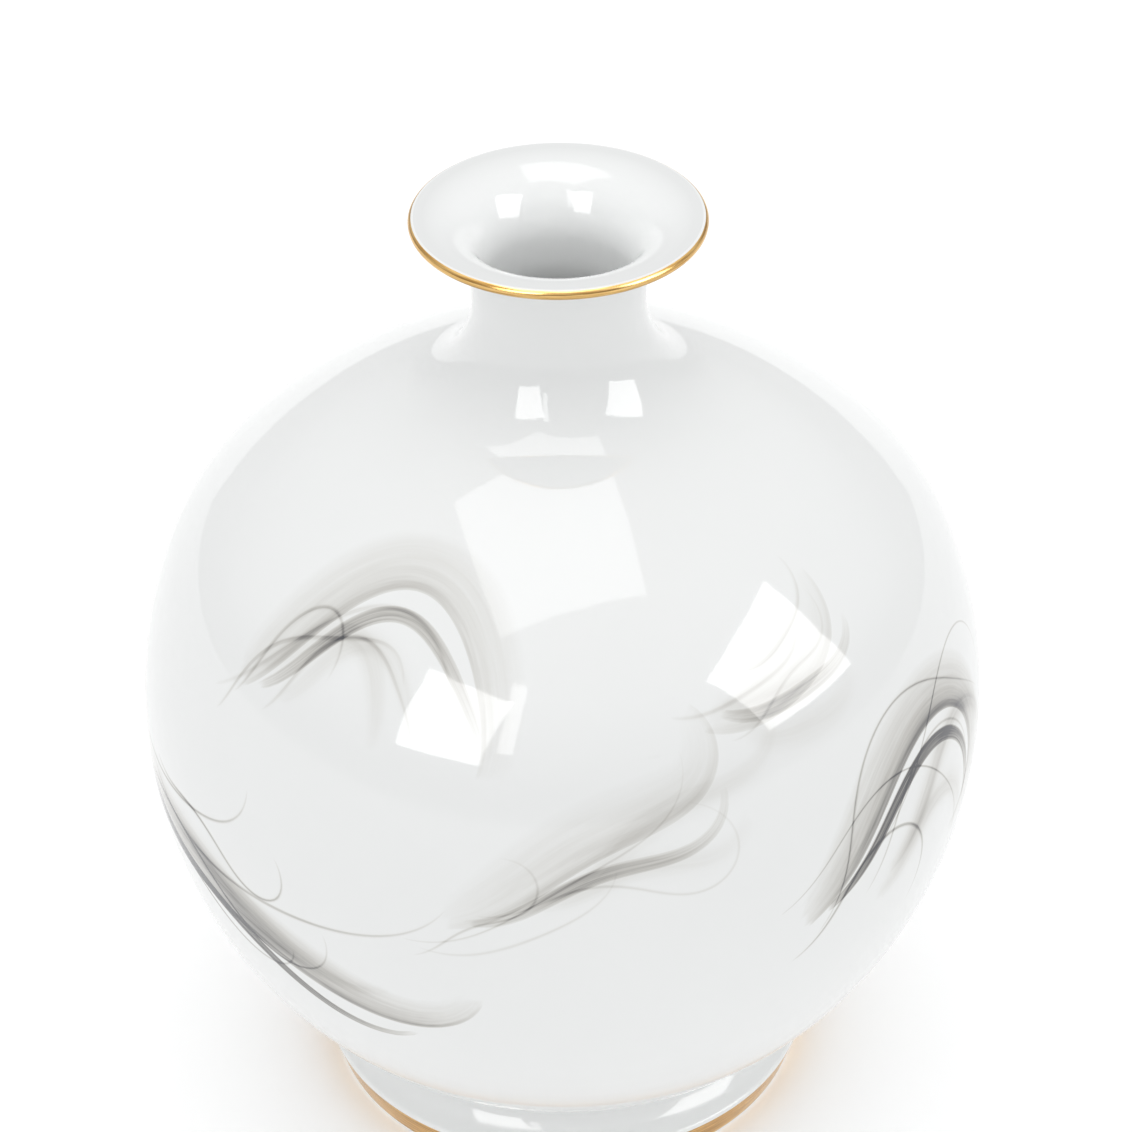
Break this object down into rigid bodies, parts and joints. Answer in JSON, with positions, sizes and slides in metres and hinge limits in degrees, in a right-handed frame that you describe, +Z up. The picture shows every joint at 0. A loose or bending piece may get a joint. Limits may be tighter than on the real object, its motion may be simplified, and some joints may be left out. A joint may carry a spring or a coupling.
{
  "type": "porcelain vase",
  "caption": "Round-bodied white porcelain bottle vase with smoke-like grey wisps, a short neck, a dished gold-edged mouth and a gold-banded foot.",
  "frame": {"origin": "centre of the foot's resting rim", "axes": "+Z up along the vase's axis of revolution, -Y towards the viewer of the decorated front"},
  "size_m": [0.3, 0.3, 0.3531],
  "materials": {
    "foot_porcelain": "gloss",
    "body_porcelain": "gloss, with grey smoke wisps in the glaze",
    "neck_porcelain": "gloss",
    "lip_gold": "burnished gold, polished",
    "foot_gold": "burnished gold, satin"
  },
  "bodies": {
    "root": {"foot_ring": "foot_porcelain", "lower_body": "body_porcelain", "upper_body": "body_porcelain", "neck": "neck_porcelain", "lip_gilding": "lip_gold", "foot_gilding": "foot_gold"}
  },
  "joints": []
}
